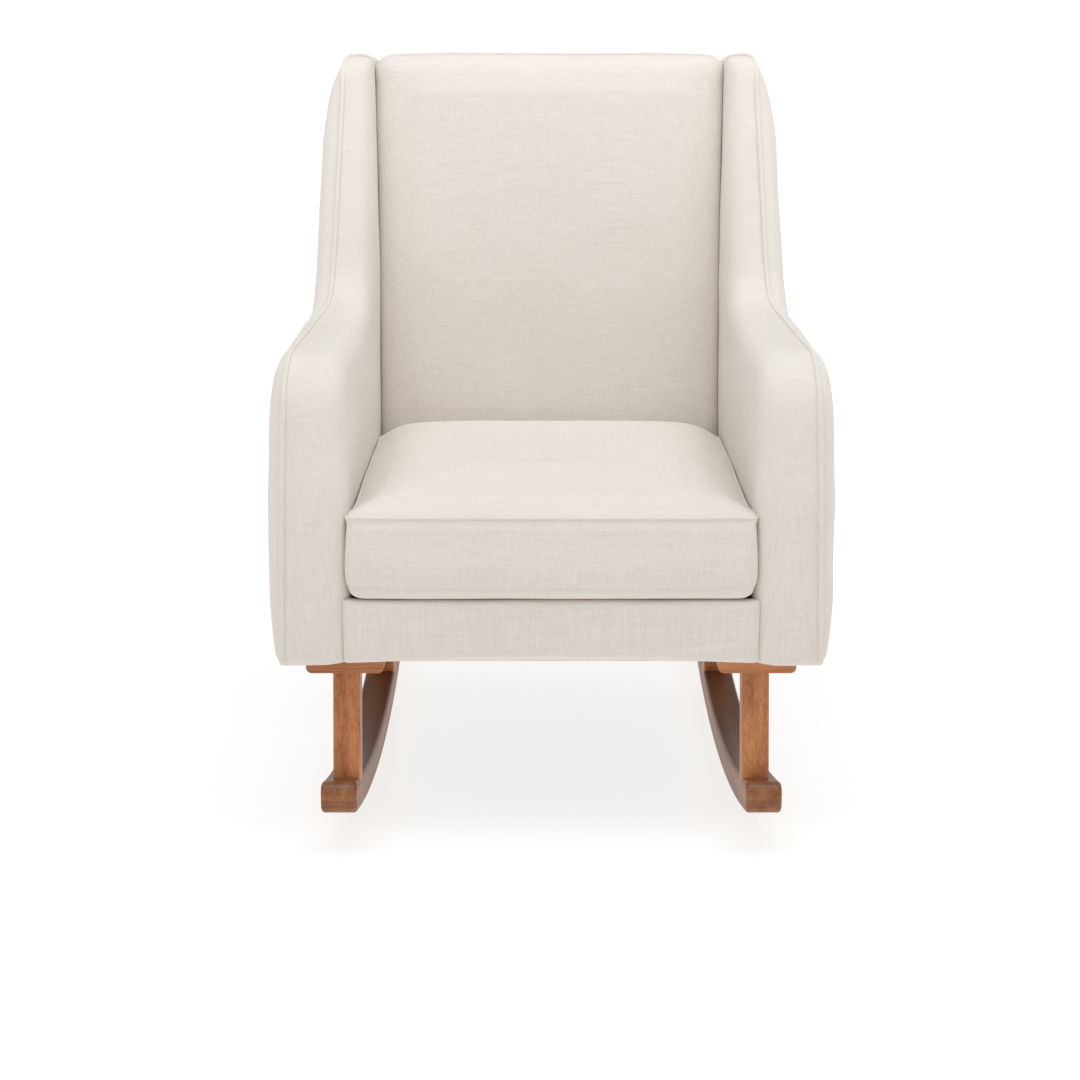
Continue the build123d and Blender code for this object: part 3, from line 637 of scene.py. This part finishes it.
for vertex, facing in zip(side_mesh.vertices, facings):
    place = vertex.co
    seam_x = welt_at(place)
    wrap = rear_wrap * between(rear_reach, behind(place))
    share = min(1.0, max(0.0, (place.x - seam_x) / draw_band + draw_at_welt))
    pull = between(foot_draw, place.z) + between(wing_draw, place.z)
    pull += between(nose_draw, place.z) * between(nose_reach, place.y)
    inner = min(1.0, max(0.0, (seam_x - place.x) / (seam_x - arm_inner_x)))
    place.x += inner * between(wing_spread, place.z) - share * pull
    place += Vector((facing.x, facing.y, rear_wrap_up * facing.z)) * wrap
    if place.z < frame_base_z + under_edge:
        place.z -= under_rail
right_side = linked("right_side_cover", side_mesh, linen, "chair")
swollen(right_side, side_held, side_swell)
left_mesh = side_mesh.copy()
left_mesh.transform(Matrix.Scale(-1, 4, Vector((1, 0, 0))))
left_mesh.flip_normals()
left_side = linked("left_side_cover", left_mesh, linen, "chair")
sides = [(right_side, "right_arm_and_wing"), (left_side, "left_arm_and_wing")]
for seed, (piece, node) in enumerate(sides, 1):
    eased(piece, 0.0011, 0.085, seed)
    softened(piece)
    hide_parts(node)

# Welts: a cord wrapped in a strip of the same linen and sewn into the seam that runs up the
# front of each arm, over its nose and along the top of the wing.
welt_thick = 0.0072
welt_inset = 0.0052
welt_proud = 0.0008
welt_step = 0.006
welt_foot = 0.002
wing_turn_z = 0.975
wing_turn = (
    (0.3120, 0.2080), (0.3105, 0.2200), (0.3065, 0.2300), (0.2995, 0.2370),
    (0.2910, 0.2420), (0.2820, 0.2460), (0.2740, 0.2490),
)
overhead_z = 1.2


def seam_line(node, point, normal):
    """Points of the longest line where a plane cuts a node, in order."""
    work = bmesh.new()
    work.from_mesh(nodes[node].data)
    bmesh.ops.remove_doubles(work, verts=work.verts, dist=1e-6)
    cut = bmesh.ops.bisect_plane(
        work, geom=work.verts[:] + work.edges[:] + work.faces[:], plane_co=point, plane_no=normal
    )
    edges = {e for e in cut["geom_cut"] if isinstance(e, bmesh.types.BMEdge)}
    loops = []
    while edges:
        first = edges.pop()
        line = [first.verts[0], first.verts[1]]
        for end in (1, 0):
            while True:
                tip = line[-1] if end else line[0]
                following = [e for e in tip.link_edges if e in edges]
                if not following:
                    break
                edges.discard(following[0])
                other = following[0].other_vert(tip)
                line.append(other) if end else line.insert(0, other)
        loops.append([v.co.copy() for v in line])
    work.free()
    return max(loops, key=lambda run: sum((b - a).length for a, b in zip(run, run[1:])))


def spaced(line, step):
    """The same line with even steps between its points."""
    total = sum((b - a).length for a, b in zip(line, line[1:]))
    count = max(2, round(total / step))
    places, walked, want = [line[0].copy()], 0.0, total / count
    for a, b in zip(line, line[1:]):
        length = (b - a).length
        while length > 0 and walked + length >= want - 1e-9 and len(places) <= count:
            places.append(a.lerp(b, (want - walked) / length))
            want += total / count
        walked += length
    return places


def piping(name, line, thick, body, closed=False):
    """A round fabric cord along a line, or round a closed line."""
    curve = bpy.data.curves.new(name, "CURVE")
    curve.dimensions = "3D"
    curve.bevel_depth = thick / 2
    curve.bevel_resolution = 4
    curve.use_fill_caps = True
    spline = curve.splines.new("NURBS")
    spline.points.add(len(line) - 1)
    for point, place in zip(spline.points, line):
        point.co = (*place, 1)
    spline.order_u = 3
    spline.use_endpoint_u = not closed
    spline.use_cyclic_u = closed
    tube = bpy.data.objects.new(name, curve)
    bpy.context.scene.collection.objects.link(tube)
    curve.materials.append(linen)
    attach(tube, body)


def skin_of(piece):
    """A piece's surface, for finding places on it."""
    mesh = piece.data
    return BVHTree.FromPolygons([v.co for v in mesh.vertices], [p.vertices for p in mesh.polygons])


def laid_on(skin, line, proud):
    """A line brought onto a surface and lifted a little off it."""
    found = [skin.find_nearest(place) for place in line]
    return [place + normal * proud for place, normal, _, _ in found]


def dropped(skin, x, y):
    """The place on a surface straight below a point over the chair."""
    return skin.ray_cast(Vector((x, y, overhead_z)), Vector((0, 0, -1)))[0]


welt_plane = Vector((1, math.tan(welt_toe), math.tan(welt_lean)))
outline = seam_line("right_arm_and_wing", (welt_x - welt_inset, 0, side_level_z), welt_plane)
low_front = min(range(len(outline)), key=lambda i: outline[i].z * 4 + outline[i].y)
outline = outline[low_front:] + outline[:low_front]
if outline[5].y > outline[-5].y:
    outline = [outline[0]] + outline[:0:-1]
turn = next(i for i, p in enumerate(outline) if p.z > wing_turn_z)
arm_seam = [p for p in outline[:turn] if p.z > frame_base_z + welt_foot]
for side, piece, name in ((1, right_side, "right_welt"), (-1, left_side, "left_welt")):
    skin = skin_of(piece)
    path = [Vector((side * p.x, p.y, p.z)) for p in arm_seam]
    path += [dropped(skin, side * x, y) for x, y in wing_turn]
    piping(name, laid_on(skin, spaced(path, welt_step), welt_proud), welt_thick, "chair")

# Inside back: one foam pad between the wings, its linen pulled over the top and down behind,
# with a welt along its top edge that turns down into the grooves beside the wings.
back_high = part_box("back_pad")[1]
back_side_edge = 0.004
back_foot_z = 0.48
back_rear_depth = 0.03
back_face_y = 0.1453
back_face_z = 0.500
back_face_slope = 0.1764
back_spread = 0.0030
edge_depth = 0.050
edge_fill = 0.60
edge_fade = [(0.930, 0.0), (0.985, 1.0)]
crest_lift = 0.0055
crest_reach = [(0.900, 0.0), (1.000, 1.0)]
crest_corner_x = 0.225
back_grid = 0.006
back_swell = 0.005


def back_held(point):
    """Where the back pad is fixed: at its sides, its foot and behind."""
    at_side = abs(point.x) > back_high.x - back_side_edge
    if at_side or point.z < back_foot_z or behind(point) < back_rear_depth:
        return 1.0
    return 0.0


back_mesh = remeshed(joined_mesh("back_pad_cover", ("back_pad", None)), back_grid)
for vertex in back_mesh.vertices:
    place = vertex.co
    sunk = place.y - (back_face_y + back_face_slope * (place.z - back_face_z))
    if 0 < sunk < edge_depth:
        full = 1 - between(edge_fade, place.z)
        place.y -= edge_fill * sunk * (1 - sunk / edge_depth) * full
    corner = max(0.0, (abs(place.x) - crest_corner_x) / (back_high.x - crest_corner_x))
    place.z += crest_lift * between(crest_reach, place.z) * (1 - min(1.0, corner) ** 2)
    place.x *= 1 + (back_spread + between(wing_spread, place.z)) / back_high.x
back = linked("back_pad_cover", back_mesh, linen, "chair")
swollen(back, back_held, back_swell)
eased(back, 0.0012, 0.10, 3)
softened(back)
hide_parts("back_pad")

back_welt_thick = 0.0058
back_welt_step = 0.012
crest_steps = 60
crest_margin = 0.004
crest_depth = 0.05
crest_middle = 0.1
back_skin = skin_of(back)
crest_top = [v.co.copy() for v in back.data.vertices if v.co.z > back_high.z - crest_depth]
crest_y = max((p for p in crest_top if abs(p.x) < crest_middle), key=lambda p: p.z).y
crest_half = max(p.x for p in crest_top) - crest_margin
crest = [
    dropped(back_skin, crest_half * (2 * step / crest_steps - 1), crest_y)
    for step in range(crest_steps + 1)
]
piping("back_welt", spaced(crest, back_welt_step), back_welt_thick, "chair")

# Outside back: a stretched linen panel over thin wadding that closes the back from the top
# rail to the frame's foot, slip-stitched to the sides and turned in over the top.
top_turn = 0.010
top_rise = 0.003
top_turn_reach = [(0.965, 0.0), (1.008, 1.0)]
rear_facing = 0.3
outside_grid = 0.005
outside_mesh = remeshed(joined_mesh("outside_back_cover", ("outside_back", None)), outside_grid)
facings = [vertex.normal.copy() for vertex in outside_mesh.vertices]
for vertex, facing in zip(outside_mesh.vertices, facings):
    turn_in = between(top_turn_reach, vertex.co.z)
    vertex.co.z += top_rise * turn_in
    if facing.y < rear_facing:
        vertex.co.y -= top_turn * turn_in
outside = linked("outside_back_cover", outside_mesh, linen, "chair")
eased(outside, 0.0008, 0.12, 4)
softened(outside)
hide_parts("outside_back")

# Front apron: the linen-covered face of the front rail below the cushion, between the arms,
# thinly padded and drawn up a little in the middle of its lower edge, where it wraps under.
apron_spread = 0.011
apron_end_x = 0.250
apron_grid = 0.004
wrap_low = Vector((-0.262, -0.3645, 0.2445))
wrap_high = Vector((0.262, -0.3450, 0.2620))
apron_whole = joined_mesh("front_apron_cover", ("front_apron", None))
work = bmesh.new()
work.from_mesh(apron_whole)
for vertex in work.verts:
    if abs(vertex.co.x) > apron_end_x:
        vertex.co.x += math.copysign(apron_spread, vertex.co.x)
wrap_size = Matrix.Diagonal((*(wrap_high - wrap_low), 1))
wrap_place = Matrix.Translation((wrap_low + wrap_high) / 2) @ wrap_size
bmesh.ops.create_cube(work, size=1.0, matrix=wrap_place)
work.to_mesh(apron_whole)
work.free()
apron_mesh = remeshed(apron_whole, apron_grid, passes=2)
apron = linked("front_apron_cover", apron_mesh, linen, "chair")
eased(apron, 0.0006, 0.07, 5)
softened(apron)
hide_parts("front_apron")

# Seat cushion: a loose foam cushion in a boxed linen cover. It fills the room between the arms
# up to its square front corners, its crown stands highest towards the back, and stitched seams
# run round its top and near the foot of its front.
seat_low, seat_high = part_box("seat_cushion")
seat_flat = 0.004
seat_seam_z = 0.4435
seat_edge_half = 0.009
seat_crown = 0.024
seat_width = [
    (-0.390, 1.110), (-0.384, 1.102), (-0.380, 1.086), (-0.375, 1.064), (-0.370, 1.048),
    (-0.360, 1.026), (-0.350, 1.015), (-0.335, 1.006), (0.060, 1.006), (0.100, 1.010),
    (0.130, 1.030),
]
seat_rise = [
    (-0.375, 0.0), (-0.300, 0.16), (-0.200, 0.45), (-0.080, 0.80), (0.040, 1.0), (0.140, 1.0),
]
seat_side = [(0.100, 1.0), (0.180, 0.93), (0.220, 0.82), (0.246, 0.72), (0.262, 0.66)]
seat_edge = [
    (-0.387, 0.0100), (-0.360, 0.0085), (-0.335, 0.0055), (-0.300, 0.0045), (0.130, 0.0045),
]
seat_wall = [(0.350, 0.0), (0.440, 1.0)]
seat_grid = 0.005
seat_swell = 0.003


def seat_held(point):
    """The cushion's underside stays flat on the deck."""
    return 1.0 if point.z < seat_low.z + seat_flat else 0.0


def plumped(place):
    """Where a point of the plain cushion lies when the cushion is in its place."""
    x, y, z = place
    near_seam = math.exp(-((z - seat_seam_z) / seat_edge_half) ** 2)
    edge = between(seat_edge, y) * near_seam * (abs(x) / seat_high.x) ** 4
    lift = seat_crown * between(seat_rise, y) * between(seat_side, abs(x)) * between(seat_wall, z)
    return Vector((x * between(seat_width, y) + math.copysign(edge, x), y, z + lift))


seat_mesh = remeshed(joined_mesh("seat_cushion_cover", ("seat_cushion", None)), seat_grid, passes=1)
for vertex in seat_mesh.vertices:
    vertex.co = plumped(vertex.co)
seat = linked("seat_cushion_cover", seat_mesh, linen, "cushion")
swollen(seat, seat_held, seat_swell)
eased(seat, 0.0010, 0.09, 6)

stitch_rows = (0.4350, 0.3500)
stitch_pull = 0.0020
stitch_pull_half = 0.0034
upright_wall = 0.5
outward = [Vector((vertex.normal.x, vertex.normal.y, 0)) for vertex in seat_mesh.vertices]
for vertex, out in zip(seat_mesh.vertices, outward):
    if out.length > upright_wall:
        pull = sum(math.exp(-((vertex.co.z - z) / stitch_pull_half) ** 2) for z in stitch_rows)
        vertex.co -= out.normalized() * stitch_pull * pull
seat_mesh.update()
softened(seat)
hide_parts("seat_cushion")

seam_thick = 0.0030
seam_step = 0.008
seam_proud = 0.0002
stitch_step = 0.0017
stitch_thick = 0.0008
seat_skin = skin_of(seat)


def round_cushion(z, step, proud):
    """An even line on the cushion's walls, level on the plain cushion."""
    level = seam_line("seat_cushion", (0, 0, z), (0, 0, 1))
    return laid_on(seat_skin, spaced([plumped(place) for place in level], step), proud)


seam_path = round_cushion(seat_seam_z, seam_step, seam_proud)
piping("seat_seam", seam_path, seam_thick, "cushion", closed=True)
thread = bpy.data.curves.new("seat_stitches", "CURVE")
thread.dimensions = "3D"
thread.bevel_depth = stitch_thick / 2
thread.bevel_resolution = 1
for z in stitch_rows:
    row = round_cushion(z, stitch_step, 0.0)
    for start in range(0, len(row) - 2, 3):
        stitch = thread.splines.new("POLY")
        stitch.points.add(2)
        for point, place in zip(stitch.points, row[start:start + 3]):
            point.co = (*place, 1)
stitches = bpy.data.objects.new("seat_stitches", thread)
bpy.context.scene.collection.objects.link(stitches)
thread.materials.append(linen)
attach(stitches, "cushion")

# Studio: a pale seamless floor that glows as painted light, less near the chair and more away from
# it, a white band of sky round the horizon, greyer overhead, and one wide soft box above and in
# front.
floor_half = 12.0
floor_near = 0.6
floor_far = 2.2
floor_glow_near = 0.82
floor_glow_far = 1.05
floor_glow = (1, 0.989, 0.976, 1)
floor_tones = [(0.3, (0.250, 0.246, 0.241, 1)), (0.7, (0.258, 0.254, 0.249, 1))]
floor_corners = ((-1, -1), (1, -1), (1, 1), (-1, 1))
floor_mesh = bpy.data.meshes.new("studio_floor")
floor_mesh.from_pydata(
    [(x * floor_half, y * floor_half, 0) for x, y in floor_corners], [], [(0, 1, 2, 3)]
)
studio_floor = bpy.data.objects.new("studio_floor", floor_mesh)
bpy.context.scene.collection.objects.link(studio_floor)
pale, pale_tree, pale_shader = new_finish(
    "pale_floor", Roughness=0.7, Specular_IOR_Level=0.1, Emission_Color=floor_glow
)
pale_place = object_place(pale_tree)
mottle = streaks(pale_tree, pale_place, (3.0, 3.0, 3.0))
away = vector_figure(pale_tree, "LENGTH", pale_place)
# Painted light: the floor's glow, weaker within reach of the chair and stronger further out, lifts
# the shadow under it.
clear = add(
    pale_tree,
    "ShaderNodeMapRange",
    {
        "Value": away, "From Min": floor_near, "From Max": floor_far,
        "To Min": floor_glow_near, "To Max": floor_glow_far,
    },
    interpolation_type="SMOOTHSTEP",
)
feed(
    pale_tree,
    pale_shader,
    Base_Color=ramp(pale_tree, mottle, floor_tones),
    Emission_Strength=clear.outputs["Result"],
)
floor_mesh.materials.append(pale)

sky_low = 0.555
sky_high = 0.630
sky_white = (1, 1, 1, 1)
sky_grey = (0.300, 0.296, 0.292, 1)
sky_strength = 1.06
world = bpy.data.worlds.new("studio_world")
world.use_nodes = True
sky = world.node_tree
sky_place = add(sky, "ShaderNodeTexCoord").outputs["Generated"]
sky_up = add(sky, "ShaderNodeSeparateXYZ", {0: sky_place}).outputs["Z"]
sky_rise = figure(sky, "MULTIPLY_ADD", sky_up, 0.5, 0.5)
backdrop = sky.nodes["Background"]
feed(sky, backdrop, Color=ramp(sky, sky_rise, [(sky_low, sky_white), (sky_high, sky_grey)]))
backdrop.inputs["Strength"].default_value = sky_strength
bpy.context.scene.world = world

key_place = Vector((0.15, -0.9, 4.2))
key_target = Vector((0, -0.2, 0.5))
key_lamp = bpy.data.lights.new("key_box", "AREA")
key_lamp.shape = "RECTANGLE"
key_lamp.size, key_lamp.size_y = 5.6, 2.4
key_lamp.energy = 146
key_lamp.color = (0.938, 0.974, 1.0)
key_box = bpy.data.objects.new("key_box", key_lamp)
key_box.location = key_place
key_box.rotation_euler = (key_target - key_place).to_track_quat("-Z", "Y").to_euler()
bpy.context.scene.collection.objects.link(key_box)

# Camera: straight in front of the chair at about seated eye height, tilted down a little, with
# a lens that shows the whole chair from under three metres.
view_lens = 63.3
view_sensor = 36.0
view_place = (-0.0147, -2.76, 0.984)
view_tilt = math.radians(13.47)
camera = bpy.data.objects.new("camera", bpy.data.cameras.new("camera"))
camera.data.lens = view_lens
camera.data.sensor_width = view_sensor
camera.location = view_place
camera.rotation_euler = (math.pi / 2 - view_tilt, 0, 0)
bpy.context.scene.collection.objects.link(camera)
bpy.context.scene.camera = camera
bpy.context.scene.view_settings.view_transform = "Standard"
